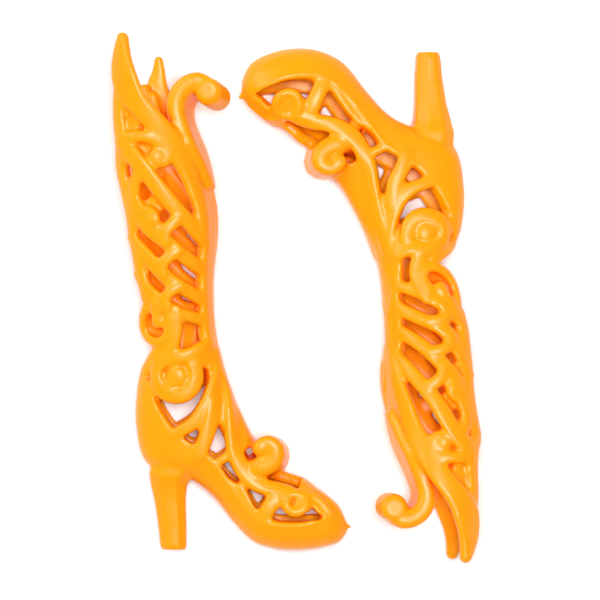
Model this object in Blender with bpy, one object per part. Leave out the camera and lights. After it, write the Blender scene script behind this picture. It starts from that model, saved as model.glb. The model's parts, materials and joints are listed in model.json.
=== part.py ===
"""A pair of openwork knee-high boots for a 1:6 fashion doll, each one soft moulding.

Both boots lie on their left side, near (right-hand) side up, heads to tails.  A boot is drawn
in its own side view: X from heel to toe, Z from heel tip to knee, in millimetres.  The leg
and foot are a "last", a smooth closed skin through cross-sections, and every strand of the
lattice is a flat bar that follows that skin.  The far side mirrors the near side.
"""
import math

import bmesh
import bpy
import numpy as np
from mathutils import Matrix, Vector

MM = 0.001

# ---------------------------------------------------------------- driving dimensions (mm)
WALL = 1.2            # thickness of the moulded strands
SHELL_WALL = 1.1      # thickness of the shoe's shell
JOINT_GAP = 0.12      # clearance left between neighbouring regions of one moulding
STRAND_STEP = 1.9     # length of one facet along a strand
CURL_STEP = 1.25      # the same where a node is one curl
STRAND_SPREAD = 0.2   # added to every strand's drawn width, so that its foot meets its neighbour's
RETRIES = 6           # attempts at a clean cut between regions
STRAND_DRAFT = 0.22   # how much narrower a strand's outer face is, at each edge
CURL_STAND = {"instep_curl": 3.1}    # curls that stand free: height over the mid plane
NEAR, FAR = -1, 1     # side of the boot: near looks up as it lies, far rests on the table

SHELLS = [("counter_shell", 6.55, 9.3, 6), ("arch_shell", 9.4, 13.38, 9), ("toe_shell", 13.5, 17.9, 10)]
CAP_SPAN, CAP_EDGE = (14.3, 17.3), (0.72, 0.1)    # toe cap: stations, and where its sides stop
CAP_SEAM = 0.25                                    # gap between the toe cap and the shell's rim
SPINE_SPAN, SPINE_EDGE = (2.8, 6.1), (0.80, 0.72)  # shin spine, likewise

LEFT_PLACE = (-21.75, -36.54)    # where the left boot's own origin lies on the table
RIGHT_PLACE = (22.04, 36.83)     # the same for the right boot, which lies turned end for end

# Cross-sections of the last, from knee to toe: back or sole point, front or instep point,
# half width, and lean.  Lean is how far a soft boot's far side slides forwards and upwards
# per unit of width as it lies.
LEFT_SECTIONS = [
    ((-5.0, 76.0), (10.4, 76.0), 6.4, (0.38, -0.15)),
    ((-5.6, 66.0), (10.0, 66.0), 6.3, (0.33, -0.05)),
    ((-5.15, 57.0), (9.6, 57.0), 6.1, (0.27, 0.00)),
    ((-3.85, 47.8), (9.5, 47.8), 5.9, (0.20, 0.02)),
    ((-2.9, 40.0), (9.1, 40.0), 5.2, (0.15, 0.05)),
    ((-1.9, 33.5), (9.25, 33.5), 4.5, (0.12, 0.08)),
    ((-0.9, 29.3), (9.9, 28.6), 4.1, (0.10, 0.08)),
    ((-2.0, 24.0), (11.2, 24.2), 3.9, (0.05, 0.08)),
    ((-2.2, 18.0), (12.9, 20.6), 3.8, (0.03, 0.10)),
    ((-0.6, 12.7), (14.3, 17.6), 3.7, (0.00, 0.10)),
    ((5.0, 10.8), (15.6, 15.4), 3.5, (0.00, 0.10)),
    ((9.0, 7.9), (16.8, 13.4), 3.4, (0.00, 0.10)),
    ((12.0, 4.1), (18.2, 11.9), 3.6, (0.00, 0.10)),
    ((15.0, 1.2), (19.8, 11.3), 3.9, (0.00, 0.10)),
    ((18.5, 0.15), (21.6, 10.9), 4.1, (0.00, 0.10)),
    ((22.0, 0.05), (23.4, 9.7), 4.0, (0.00, 0.10)),
    ((25.0, 0.45), (25.6, 8.1), 3.3, (0.00, 0.08)),
    ((27.4, 1.2), (27.4, 6.5), 1.9, (0.00, 0.05)),
    ((28.6, 2.6), (28.5, 4.2), 0.35, (0.00, 0.00)),
]
RIGHT_SECTIONS = [
    ((-3.4, 76.0), (10.8, 76.0), 6.4, (0.16, 0.00)),
    ((-4.05, 66.0), (10.4, 66.0), 6.3, (0.18, 0.00)),
    ((-4.25, 57.5), (10.0, 57.0), 6.1, (0.24, 0.03)),
    ((-3.5, 49.5), (9.7, 49.0), 5.9, (0.25, 0.06)),
    ((-2.8, 41.5), (9.45, 42.0), 5.2, (0.25, 0.10)),
    ((-1.0, 35.3), (10.0, 35.0), 4.5, (0.25, 0.12)),
    ((0.4, 31.2), (10.9, 30.3), 4.1, (0.28, 0.15)),
    ((-1.4, 26.5), (12.6, 26.6), 3.9, (0.30, 0.18)),
    ((-1.85, 20.5), (14.4, 23.0), 3.8, (0.30, 0.22)),
    ((-0.4, 14.5), (16.2, 20.0), 3.7, (0.28, 0.25)),
    ((5.0, 12.0), (17.8, 18.5), 3.5, (0.25, 0.28)),
    ((9.0, 10.0), (19.3, 16.4), 3.5, (0.20, 0.30)),
    ((12.4, 6.4), (20.6, 14.6), 3.7, (0.15, 0.30)),
    ((15.6, 2.4), (22.2, 13.6), 4.0, (0.10, 0.30)),
    ((19.2, 0.5), (24.0, 12.0), 4.2, (0.05, 0.25)),
    ((23.0, 0.15), (26.0, 11.0), 4.1, (0.00, 0.20)),
    ((26.4, 0.8), (28.2, 9.4), 3.4, (0.00, 0.10)),
    ((29.2, 2.3), (29.8, 7.9), 2.0, (0.00, 0.05)),
    ((30.5, 4.8), (30.5, 6.9), 0.35, (0.00, 0.00)),
]

# The lattice, drawn once for the left boot: each strand is a run of (x, z, width).  A node of
# the model may hold several strands that are moulded into one another.
LATTICE = {
    "spike_strand": [
        [(-4.1, 75.1, 0.9), (-4.2, 73.4, 1.7), (-4.0, 71.0, 2.6), (-3.6, 68.5, 3.3),
         (-2.8, 66.2, 3.2), (-1.5, 64.4, 2.8), (0.1, 62.7, 2.6), (1.6, 61.0, 2.6),
         (3.0, 59.2, 2.6), (4.3, 57.2, 2.5), (5.4, 55.0, 2.4), (6.5, 52.3, 2.3),
         (7.5, 49.6, 2.2)],
    ],
    "back_edge": [
        [(-5.0, 67.4, 1.2), (-4.9, 65.0, 1.5), (-4.6, 61.5, 1.8), (-4.4, 58.5, 2.0),
         (-4.5, 56.0, 1.4), (-4.3, 53.5, 1.3), (-3.8, 51.0, 1.4), (-3.3, 48.6, 1.6),
         (-3.0, 46.0, 1.3), (-2.6, 43.6, 1.3), (-2.1, 41.2, 1.4), (-1.6, 38.8, 1.4),
         (-1.1, 36.8, 1.4)],
    ],
    "knee_curl": [
        [(3.5, 59.6, 2.0), (3.2, 62.6, 2.2), (3.4, 65.6, 2.2), (4.2, 67.6, 2.2),
         (5.8, 68.7, 2.2), (7.5, 68.7, 2.2), (8.3, 67.6, 2.3), (7.9, 66.6, 2.4)],
    ],
    "top_curl": [
        [(-4.1, 59.6, 1.9), (-2.6, 59.4, 1.6), (-0.9, 59.6, 1.4), (0.9, 59.4, 1.4),
         (2.3, 58.6, 1.5), (2.6, 57.3, 1.7), (1.6, 56.9, 1.9)],
        [(-4.2, 59.2, 2.0), (-3.0, 58.0, 2.2), (-1.5, 56.3, 2.1), (0.0, 54.4, 2.0),
         (1.6, 52.6, 1.9), (3.2, 50.8, 1.9), (5.0, 48.9, 1.9), (6.8, 47.0, 1.8),
         (8.3, 45.2, 1.6)],
    ],
    "middle_strand": [
        [(-1.2, 55.1, 1.5), (-2.5, 53.9, 1.5), (-2.9, 51.6, 1.6), (-2.2, 49.3, 2.0),
         (-0.8, 47.3, 2.2), (0.8, 45.9, 2.1), (2.4, 44.9, 1.8), (4.2, 43.9, 1.6),
         (6.2, 42.6, 1.7), (8.4, 41.1, 1.7)],
        [(1.6, 45.3, 1.3), (1.9, 46.3, 1.3), (2.8, 47.5, 1.4), (4.2, 48.9, 1.5)],
        [(-1.8, 49.0, 1.6), (-0.5, 49.2, 1.6), (0.4, 48.6, 1.8)],
    ],
    "lower_strand": [
        [(-3.0, 45.4, 1.6), (-1.7, 43.7, 1.7), (-0.2, 42.3, 1.8), (1.2, 40.9, 1.9),
         (2.5, 39.6, 1.7), (4.2, 38.9, 1.7), (6.2, 37.9, 1.8), (8.6, 36.6, 1.8)],
        [(1.2, 40.8, 1.2), (1.6, 42.1, 1.2), (2.8, 43.1, 1.3), (4.3, 44.0, 1.3)],
    ],
    "bottom_strand": [
        [(-2.1, 40.3, 1.4), (-1.0, 38.4, 1.5), (0.4, 36.9, 1.7), (1.9, 35.7, 1.7),
         (3.7, 34.7, 1.5), (5.6, 34.1, 1.4), (7.2, 33.9, 1.5), (8.9, 33.2, 1.5)],
        [(1.9, 35.9, 1.2), (2.1, 37.1, 1.2), (3.0, 38.1, 1.2), (4.4, 39.0, 1.3)],
    ],
    "back_curl": [
        [(1.9, 35.5, 1.9), (2.1, 33.4, 1.9), (1.4, 31.6, 1.7), (-0.2, 31.2, 1.6),
         (-1.2, 32.4, 1.6), (-0.7, 33.9, 1.5), (0.6, 33.9, 1.3)],
        [(2.2, 34.4, 2.2), (2.9, 32.2, 2.2), (2.5, 30.2, 2.2), (2.4, 28.6, 2.0)],
    ],
    "ankle_scroll": [
        [(9.2, 30.2, 2.0), (7.0, 29.0, 2.0), (4.4, 28.7, 1.9), (1.8, 28.0, 1.9),
         (0.3, 26.2, 1.9), (0.6, 23.8, 1.9), (2.4, 22.4, 1.9), (4.7, 22.4, 1.9),
         (6.8, 23.8, 1.8), (7.0, 26.0, 1.6), (5.4, 27.0, 1.3), (3.7, 26.7, 1.4),
         (3.2, 25.3, 1.7), (4.4, 24.9, 1.5)],
    ],
    "vamp_strand": [
        [(10.2, 29.2, 1.9), (10.9, 26.0, 2.0), (11.6, 22.6, 2.1), (12.1, 19.0, 2.1),
         (12.1, 16.0, 2.1), (12.5, 13.2, 2.1), (13.9, 10.8, 2.0), (16.0, 9.5, 1.8),
         (18.2, 9.1, 1.8), (20.4, 9.0, 1.5), (22.1, 8.4, 1.3), (22.6, 7.0, 1.3),
         (21.7, 5.8, 1.3), (20.3, 6.0, 1.2), (19.9, 7.2, 1.1)],
        [(18.6, 8.6, 1.4), (17.6, 6.8, 1.3), (16.4, 4.9, 1.3)],
    ],
    "collar_strand": [
        [(9.7, 27.6, 1.7), (9.2, 25.0, 1.7), (8.5, 22.2, 1.8), (7.4, 19.4, 1.8),
         (5.6, 17.4, 1.8), (4.2, 15.6, 1.8)],
        [(8.4, 21.0, 1.3), (8.3, 18.0, 1.4), (7.1, 14.4, 1.5)],
    ],
    "instep_curl": [
        [(12.4, 13.0, 1.6), (14.2, 12.1, 1.6), (16.2, 12.2, 1.7), (17.8, 13.2, 1.7),
         (17.9, 15.0, 1.7), (16.6, 16.0, 1.7), (15.3, 15.3, 1.6)],
    ],
}

# The shoe's upper edge in the side view, from the counter's top round to the toe.
RIM = [(-1.5, 26.7), (-0.5, 25.4), (0.2, 23.2), (1.0, 21.3), (2.0, 19.6), (3.2, 18.0), (4.8, 16.6),
       (7.0, 15.0), (9.0, 13.4), (10.6, 11.2), (12.2, 9.0), (13.8, 6.6), (15.2, 5.0),
       (16.8, 4.1), (18.6, 3.7), (21.0, 3.7), (23.6, 4.1), (26.0, 4.6), (28.3, 4.0)]

# Heel column: height, back and front edge, half width.
HEEL = [(0.0, 1.6, 4.9, 1.35), (0.45, 1.35, 5.1, 1.5), (3.5, 1.0, 5.1, 1.55),
        (7.0, 0.5, 4.95, 1.75), (9.3, 0.0, 5.1, 2.1), (10.9, -0.4, 5.8, 2.7), (13.2, -0.9, 7.4, 3.1)]

# Where marks of the lattice sit on the right boot, which was set down in another shape:
# (x, z) on the left boot, then (x, z) on the right boot.
RIGHT_MARKS = [
    (-4.1, 75.2, -2.1, 74.7), (-5.5, 66.5, -4.0, 66.5), (1.8, 62.8, 2.0, 63.5),
    (-0.2, 61.0, 1.15, 60.4), (4.3, 57.2, 4.6, 57.2), (6.5, 69.7, 7.0, 69.9),
    (8.0, 66.8, 7.9, 66.9), (1.5, 57.3, 1.6, 57.3), (6.1, 49.7, 5.9, 49.8),
    (-5.1, 57.0, -4.25, 57.4), (-1.4, 53.0, -1.3, 54.6), (0.1, 51.6, -0.1, 52.7),
    (3.7, 48.6, 2.5, 49.8), (1.1, 47.0, 0.3, 48.2), (-3.85, 47.8, -3.5, 50.0),
    (3.2, 46.0, 2.2, 46.8), (6.9, 43.4, 7.8, 42.8), (1.6, 43.2, 0.1, 44.9),
    (2.3, 40.9, 0.6, 42.3), (7.0, 38.3, 8.0, 39.1), (-2.9, 40.0, -2.75, 41.8),
    (2.8, 36.3, 1.2, 38.3), (8.3, 34.5, 8.5, 35.6), (0.5, 32.7, 1.4, 34.4),
    (4.9, 33.2, 6.2, 34.0), (3.2, 29.2, 4.9, 30.4), (8.2, 30.8, 7.9, 31.2),
    (3.6, 25.4, 3.4, 26.9), (3.3, 18.2, 2.5, 20.7), (9.2, 25.9, 8.5, 26.7),
    (-1.7, 26.7, -1.1, 29.0), (10.4, 22.8, 9.9, 23.8), (8.0, 14.7, 7.2, 16.4),
    (9.8, 13.0, 9.95, 14.7), (11.3, 17.5, 11.1, 17.8), (12.3, 18.0, 12.3, 18.5),
    (11.9, 10.9, 12.1, 12.6), (14.4, 8.7, 15.0, 10.1), (17.0, 8.0, 19.0, 9.4),
    (15.5, 5.95, 17.5, 6.3), (16.2, 14.7, 16.6, 16.5), (21.2, 7.0, 23.9, 8.4),
    (17.8, 4.5, 20.0, 4.8), (24.9, 4.9, 28.6, 7.0), (28.7, 3.4, 30.6, 7.1),
    (9.0, 7.9, 9.3, 9.8), (15.0, 1.2, 16.3, 1.9), (21.0, 0.0, 22.5, 0.15),
    (5.6, 10.7, 5.6, 11.9), (1.5, 0.0, 1.8, 0.55), (5.1, 0.5, 4.9, 1.0),
]

# Colours of the regions: one plastic, a little paler where the mouldings stand proud.
ORANGE = (1.0, 0.36, 0.01, 1.0)
PALE_ORANGE = (1.0, 0.46, 0.04, 1.0)
DEEP_ORANGE = (0.95, 0.25, 0.005, 1.0)


def clear_scene():
    for thing in list(bpy.data.objects):
        bpy.data.objects.remove(thing, do_unlink=True)


def plastic(name, colour):
    """Glossy soft PVC in one colour."""
    material = bpy.data.materials.new(name)
    material.use_nodes = True
    shader = material.node_tree.nodes["Principled BSDF"]
    shader.inputs["Base Color"].default_value = colour
    shader.inputs["Roughness"].default_value = 0.28
    shader.inputs["Metallic"].default_value = 0.0
    return material


def smooth_run(points, step):
    """Catmull-Rom curve through the rows of points, cut into facets of about step."""
    rows = np.array(points, float)
    padded = np.vstack([2 * rows[0] - rows[1], rows, 2 * rows[-1] - rows[-2]])
    out = []
    for i in range(len(rows) - 1):
        a, b, c, d = padded[i:i + 4]
        count = max(1, round(float(np.hypot(*(c - b)[:2])) / step))
        for k in range(count):
            s = k / count
            out.append(0.5 * (2 * b + (c - a) * s + (2 * a - 5 * b + 4 * c - d) * s * s
                              + (3 * b - a - 3 * c + d) * s ** 3))
    out.append(rows[-1])
    return np.array(out)


class Warp:
    """Thin-plate map of the side view that carries each mark to its place."""

    def __init__(self, marks, stiffness=0.4):
        table = np.array(marks, float)
        self.source, target = table[:, :2], table[:, 2:]
        count = len(table)
        system = np.zeros((count + 3, count + 3))
        system[:count, :count] = self.bend(self.source) + stiffness * np.eye(count)
        system[:count, count:] = np.hstack([np.ones((count, 1)), self.source])
        system[count:, :count] = system[:count, count:].T
        right = np.vstack([target - self.source, np.zeros((3, 2))])
        self.weights = np.linalg.solve(system, right)

    def bend(self, points):
        gap = np.linalg.norm(points[:, None, :] - self.source[None, :, :], axis=2)
        return gap * gap * np.log(gap + 1e-9)

    def __call__(self, points):
        points = np.atleast_2d(np.array(points, float))
        basis = np.hstack([self.bend(points), np.ones((len(points), 1)), points])
        return points + basis @ self.weights


class Last:
    """The smooth skin that the lattice follows, in the boot's own side view."""

    def __init__(self, sections):
        rows = [[*back, *front, width, *lean] for back, front, width, lean in sections]
        table = np.array(rows, float)
        self.middle = (table[:, 0:2] + table[:, 2:4]) / 2
        self.reach = (table[:, 2:4] - table[:, 0:2]) / 2
        self.width = table[:, 4]
        self.lean = table[:, 5:7]
        self.grid_t, self.grid_v = np.meshgrid(np.linspace(0, len(rows) - 1, 14 * len(rows)),
                                               np.sin(np.linspace(-1.5, 1.5, 61)), indexing="ij")
        self.grid = self.point(self.grid_t.ravel(), self.grid_v.ravel(), NEAR)

    def between(self, table, t):
        """Catmull-Rom value of a section quantity at position t."""
        t = np.clip(t, 0, len(table) - 1)
        i = np.minimum(t.astype(int), len(table) - 2)
        s = t - i
        if table.ndim > 1:
            s = s[:, None]
        a = table[np.maximum(i - 1, 0)]
        b, c = table[i], table[i + 1]
        d = table[np.minimum(i + 2, len(table) - 1)]
        return 0.5 * (2 * b + (c - a) * s + (2 * a - 5 * b + 4 * c - d) * s ** 2
                      + (3 * b - a - 3 * c + d) * s ** 3)

    def point(self, t, v, side, depth=0.0):
        """x, z and height over the mid plane of the skin at section t and position v."""
        t, v = np.atleast_1d(np.array(t, float)), np.atleast_1d(np.array(v, float))
        reach = self.between(self.reach, t)
        length = np.linalg.norm(reach, axis=1)
        half = self.between(self.width, t)
        bulge = np.sqrt(np.clip(1 - v * v, 0, 1)) * np.maximum(half - depth, 0.05)
        along = reach * (v * (1 - depth / length))[:, None]
        flat = self.between(self.middle, t) + along + side * bulge[:, None] * self.between(self.lean, t)
        return np.column_stack([flat, -side * bulge])

    def locate(self, flat):
        """Section and position (t, v) under each x, z of the near side."""
        found = []
        for x, z in flat:
            k = int(np.argmin((self.grid[:, 0] - x) ** 2 + (self.grid[:, 1] - z) ** 2))
            t, v = float(self.grid_t.ravel()[k]), float(self.grid_v.ravel()[k])
            for _ in range(4):
                here = self.point(t, v, NEAR)[0, :2]
                dt = (self.point(t + 0.01, v, NEAR)[0, :2] - here) / 0.01
                dv = (self.point(t, v + 0.005, NEAR)[0, :2] - here) / 0.005
                change = np.linalg.lstsq(np.column_stack([dt, dv]), np.array([x, z]) - here,
                                         rcond=1e-3)[0]
                t += float(np.clip(change[0], -0.2, 0.2))
                v = float(np.clip(v + np.clip(change[1], -0.1, 0.1), -0.995, 0.995))
            found.append((t, v))
        return np.array(found)


def new_object(name, verts, faces, material):
    """A mesh object in metres from millimetre points, its faces turned outwards."""
    mesh = bpy.data.meshes.new(name)
    mesh.from_pydata([tuple(MM * c for c in p) for p in verts], [], faces)
    work = bmesh.new()
    work.from_mesh(mesh)
    bmesh.ops.remove_doubles(work, verts=work.verts, dist=1e-6)
    bmesh.ops.triangulate(work, faces=work.faces)
    bmesh.ops.recalc_face_normals(work, faces=work.faces)
    if work.calc_volume(signed=True) < 0:
        bmesh.ops.reverse_faces(work, faces=work.faces)
    work.to_mesh(mesh)
    work.free()
    made = bpy.data.objects.new(name, mesh)
    made.data.materials.append(material)
    bpy.context.scene.collection.objects.link(made)
    return made


def strand_mesh(last, run, side, swell=0.0, stand=None):
    """Flat bar of trapezoid section along a run of (x, z, width) on the skin.

    A curl that stands free of the skin is flat instead, at a height over the mid plane.
    """
    spots = last.locate(run[:, :2])
    t, v = spots[:, 0], spots[:, 1]
    outer = last.point(t, v, side)
    inward = last.point(t, v, side, depth=WALL) - outer
    if stand is not None:
        lean = last.between(last.lean, t)
        outer = np.column_stack([run[:, :2] + (1 + side) * stand * lean,
                                 np.full(len(run), -side * stand)])
        inward = np.tile([0.0, 0.0, float(side)], (len(run), 1))
    inward /= np.linalg.norm(inward, axis=1)[:, None]
    ahead = np.gradient(outer, axis=0)
    ahead /= np.linalg.norm(ahead, axis=1)[:, None]
    across = np.cross(ahead, inward)
    across /= np.linalg.norm(across, axis=1)[:, None]
    if swell:
        outer = outer.copy()
        outer[0] -= ahead[0] * swell
        outer[-1] += ahead[-1] * swell
    half = (run[:, 2] / 2 + swell)[:, None]
    top = outer - inward * swell
    low = outer + inward * (WALL + swell)
    narrow = half - STRAND_DRAFT
    rings = np.stack([top - across * narrow, top + across * narrow,
                      low + across * half, low - across * half], axis=1)
    verts = rings.reshape(-1, 3)
    count = len(rings)
    faces = [(4 * i + k, 4 * i + (k + 1) % 4, 4 * i + 4 + (k + 1) % 4, 4 * i + 4 + k)
             for i in range(count - 1) for k in range(4)]
    faces += [(3, 2, 1, 0), tuple(4 * (count - 1) + k for k in range(4))]
    return verts, faces


def wall_faces(rows, cols):
    """Faces of a closed wall whose verts are an outer grid, then an inner grid."""
    def index(layer, i, j):
        return (layer * rows + i) * cols + j

    faces = []
    for i in range(rows - 1):
        for j in range(cols - 1):
            for layer in (0, 1):
                faces.append((index(layer, i, j), index(layer, i + 1, j),
                              index(layer, i + 1, j + 1), index(layer, i, j + 1)))
        for j in (0, cols - 1):
            faces.append((index(0, i, j), index(0, i + 1, j), index(1, i + 1, j), index(1, i, j)))
    for j in range(cols - 1):
        for i in (0, rows - 1):
            faces.append((index(0, i, j), index(0, i, j + 1), index(1, i, j + 1), index(1, i, j)))
    return faces


def wall_mesh(last, stations, edge, pole, wall, swell=0.0):
    """Wall round one end of the sections: pole -1 goes under the foot, 1 over the front.

    edge holds, for each station, the position where the wall stops on both sides.
    """
    outer, inner = [], []
    for t, stop in zip(stations, edge):
        angles = np.linspace(math.asin(min(max(stop, -0.98), 0.98)), pole * math.pi / 2, 5)
        path = [(math.sin(a), NEAR) for a in angles] + [(math.sin(a), FAR) for a in angles[-2::-1]]
        outer.append([last.point(t, v, side, -swell)[0] for v, side in path])
        inner.append([last.point(t, v, side, wall + swell)[0] for v, side in path])
    grid = np.array([outer, inner])
    if swell:
        for edge_row, next_row in ((0, 1), (-1, -2)):
            push = grid[:, edge_row] - grid[:, next_row]
            grid[:, edge_row] += push / np.linalg.norm(push, axis=2)[..., None] * swell
        for edge_col, next_col in ((0, 1), (-1, -2)):
            push = grid[:, :, edge_col] - grid[:, :, next_col]
            grid[:, :, edge_col] += push / np.linalg.norm(push, axis=2)[..., None] * swell
    return grid.reshape(-1, 3), wall_faces(*grid.shape[1:3])


def heel_mesh(rings, lean):
    """Tapered heel column of eight-sided section."""
    corners = [(0.0, 0.62), (0.22, 1.0), (0.78, 1.0), (1.0, 0.62),
               (1.0, -0.62), (0.78, -1.0), (0.22, -1.0), (0.0, -0.62)]
    verts = []
    for z, back, front, half in rings:
        for share, side in corners:
            verts.append((back + (front - back) * share - side * half * lean, z, side * half))
    count = len(corners)
    faces = [(count * i + k, count * i + (k + 1) % count, count * (i + 1) + (k + 1) % count,
              count * (i + 1) + k) for i in range(len(rings) - 1) for k in range(count)]
    faces += [tuple(range(count))[::-1], tuple(count * (len(rings) - 1) + k for k in range(count))]
    return verts, faces


def apply_boolean(target, tool, operation):
    modifier = target.modifiers.new(operation.lower(), "BOOLEAN")
    modifier.object = tool
    modifier.operation = operation
    modifier.solver = "EXACT"
    modifier.use_self = True
    graph = bpy.context.evaluated_depsgraph_get()
    result = bpy.data.meshes.new_from_object(target.evaluated_get(graph))
    target.modifiers.clear()
    old = target.data
    target.data = result
    bpy.data.meshes.remove(old)


def keep_main_body(target):
    """Drop the crumbs that a cut leaves, and flatten slivers."""
    work = bmesh.new()
    work.from_mesh(target.data)
    bmesh.ops.remove_doubles(work, verts=work.verts, dist=0.000001)
    bmesh.ops.dissolve_degenerate(work, edges=work.edges, dist=0.000001)
    seen, groups = set(), []
    for start in work.verts:
        if start in seen:
            continue
        seen.add(start)
        group, queue = [], [start]
        while queue:
            vert = queue.pop()
            group.append(vert)
            for edge in vert.link_edges:
                other = edge.other_vert(vert)
                if other not in seen:
                    seen.add(other)
                    queue.append(other)
        groups.append(group)
    groups.sort(key=len)
    for group in groups[:-1]:
        bmesh.ops.delete(work, geom=group, context="VERTS")
    bmesh.ops.triangulate(work, faces=work.faces)
    work.to_mesh(target.data)
    work.free()


def is_closed(node):
    """True when every edge has two faces."""
    work = bmesh.new()
    work.from_mesh(node.data)
    bmesh.ops.remove_doubles(work, verts=work.verts, dist=1e-7)
    closed = len(work.faces) > 0 and all(len(edge.link_faces) == 2 for edge in work.edges)
    work.free()
    return closed


def boxes_touch(one, other):
    a = np.array([v.co[:] for v in one.data.vertices])
    b = np.array([v.co[:] for v in other.data.vertices])
    return bool(np.all(a.min(0) <= b.max(0)) and np.all(b.min(0) <= a.max(0)))


class Boot:
    """Builds one boot's regions in its own side view and trims each by the earlier ones."""

    def __init__(self, name, sections, warp):
        self.name = name
        self.last = Last(sections)
        self.warp = warp
        self.done = []
        self.tools = []

    def run(self, points, step):
        rows = np.array(points, float)
        rows[:, 2] += STRAND_SPREAD
        if self.warp:
            rows[:, :2] = self.warp(rows[:, :2])
        return smooth_run(rows, step)

    def add(self, label, shapes, material, trim=True):
        """Make a node from shapes(swell), less a swollen copy of each node made before it.

        A cut that leaves the node touching itself is made again on a slightly thinner node.
        """
        for attempt in range(RETRIES):
            node = self.merge(f"{self.name}_{label}", shapes(-0.005 * attempt), material)
            if trim:
                for earlier in self.tools:
                    if boxes_touch(node, earlier):
                        apply_boolean(node, earlier, "DIFFERENCE")
                keep_main_body(node)
            if is_closed(node) or attempt == RETRIES - 1:
                break
            bpy.data.objects.remove(node, do_unlink=True)
        self.done.append(node)
        self.tools.append(self.merge(f"{self.name}_{label}_cutter", shapes(JOINT_GAP), material))

    def merge(self, name, shapes, material):
        merged = new_object(name, *shapes[0], material)
        for verts, faces in shapes[1:]:
            extra = new_object(name + "_part", verts, faces, material)
            apply_boolean(merged, extra, "UNION")
            bpy.data.objects.remove(extra, do_unlink=True)
        return merged

    def build(self, orange, pale, deep):
        last = self.last
        rim = last.locate(self.warp(RIM) if self.warp else np.array(RIM))
        order = np.argsort(rim[:, 0])

        def rim_at(stations):
            return np.interp(stations, rim[order, 0], rim[order, 1])

        for label, first, final, count in SHELLS:
            stations = np.linspace(first, final, count)
            self.add(label, lambda swell, at=stations: [
                wall_mesh(last, at, rim_at(at), -1, SHELL_WALL, swell)], orange, trim=False)
        stations = np.linspace(*CAP_SPAN, 8)
        above_rim = rim_at(stations) + CAP_SEAM / np.linalg.norm(last.between(last.reach, stations), axis=1)
        edge = np.maximum(np.linspace(*CAP_EDGE, 8), above_rim)
        self.add("toe_cap", lambda swell: [wall_mesh(last, stations, edge, 1, WALL, swell)], pale)
        spine_at = np.linspace(*SPINE_SPAN, 9)
        spine_edge = np.linspace(*SPINE_EDGE, 9)
        self.add("shin_spine", lambda swell: [
            wall_mesh(last, spine_at, spine_edge, 1, WALL, swell)], pale)
        heel = [self.heel_ring(*ring) for ring in HEEL]
        lean = float(last.between(last.lean, np.array([9.0]))[0, 0])
        self.add("heel", lambda swell: [heel_mesh(heel, lean)], orange)
        for label, strands in LATTICE.items():
            curled = "curl" in label or "scroll" in label
            runs = [self.run(points, CURL_STEP if curled else STRAND_STEP) for points in strands]
            stand = CURL_STAND.get(label)
            for side, word in ((NEAR, "near"), (FAR, "far")):
                self.add(f"{word}_{label}", lambda swell: [
                    strand_mesh(last, run, side, swell, stand) for run in runs],
                    pale if curled else deep)
        for tool in self.tools:
            bpy.data.objects.remove(tool, do_unlink=True)
        return self.done

    def heel_ring(self, z, back, front, half):
        if not self.warp:
            return z, back, front, half
        ends = self.warp([(back, z), (front, z)])
        return float(ends[:, 1].mean()), float(ends[0, 0]), float(ends[1, 0]), half


def lay_down(nodes):
    """Rest the boot on the three points of its far side that its weight settles on."""
    points = [Vector((v.co.x, v.co.y, v.co.z)) for node in nodes for v in node.data.vertices]
    weight = sum(points, Vector()) / len(points)
    work = bmesh.new()
    for point in points:
        work.verts.new(point)
    bmesh.ops.convex_hull(work, input=work.verts, use_existing_faces=False)
    for face in work.faces:
        face.normal_update()
    under = None
    for face in work.faces:
        if face.normal.z > -0.5 or len(face.verts) != 3:
            continue
        a, b, c = [v.co.copy() for v in face.verts]
        turns = [(q.x - p.x) * (weight.y - p.y) - (q.y - p.y) * (weight.x - p.x)
                 for p, q in ((a, b), (b, c), (c, a))]
        if all(s <= 0 for s in turns) or all(s >= 0 for s in turns):
            under = (face.normal.copy(), a)
    work.free()
    normal, anchor = under
    for node in nodes:
        for vert in node.data.vertices:
            offset = vert.co - anchor
            vert.co.z = offset.z + (normal.x * offset.x + normal.y * offset.y) / normal.z


def put_on_table(nodes, place, turn):
    """Move a laid boot to its place; turn is 1, or -1 for a boot lying end for end."""
    for node in nodes:
        for vert in node.data.vertices:
            x, y = vert.co.x, vert.co.y
            vert.co.x = place[0] * MM + turn * x
            vert.co.y = place[1] * MM + turn * y
        node.data.update()


def centre_on_origin(nodes):
    """Shift the pair so that its box stands on the origin, centred in X and Y."""
    points = np.array([v.co[:] for node in nodes for v in node.data.vertices])
    low, high = points.min(0), points.max(0)
    shift = Vector((-(low[0] + high[0]) / 2, -(low[1] + high[1]) / 2, -low[2]))
    for node in nodes:
        node.data.transform(Matrix.Translation(shift))


def main():
    clear_scene()
    orange = plastic("orange_pvc", ORANGE)
    pale = plastic("pale_orange_pvc", PALE_ORANGE)
    deep = plastic("deep_orange_pvc", DEEP_ORANGE)
    plans = [("left_boot", LEFT_SECTIONS, None, LEFT_PLACE, 1),
             ("right_boot", RIGHT_SECTIONS, Warp(RIGHT_MARKS), RIGHT_PLACE, -1)]
    pair = []
    for name, sections, warp, place, turn in plans:
        nodes = Boot(name, sections, warp).build(orange, pale, deep)
        lay_down(nodes)
        put_on_table(nodes, place, turn)
        pair += nodes
    centre_on_origin(pair)


main()
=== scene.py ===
# %% [markdown]
# # A pair of openwork doll boots
#
# Each boot is one soft, glossy PVC moulding for a 1:6 fashion doll: a high-heeled shoe whose
# ankle and shaft are a lattice of vines and scrolls.  The two boots lie on their left sides,
# heads to tails.  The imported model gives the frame: where each boot lies and how it is sized.
# The seam-free mouldings are modelled here and stand for the frame's many regions.

import json
import math

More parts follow.
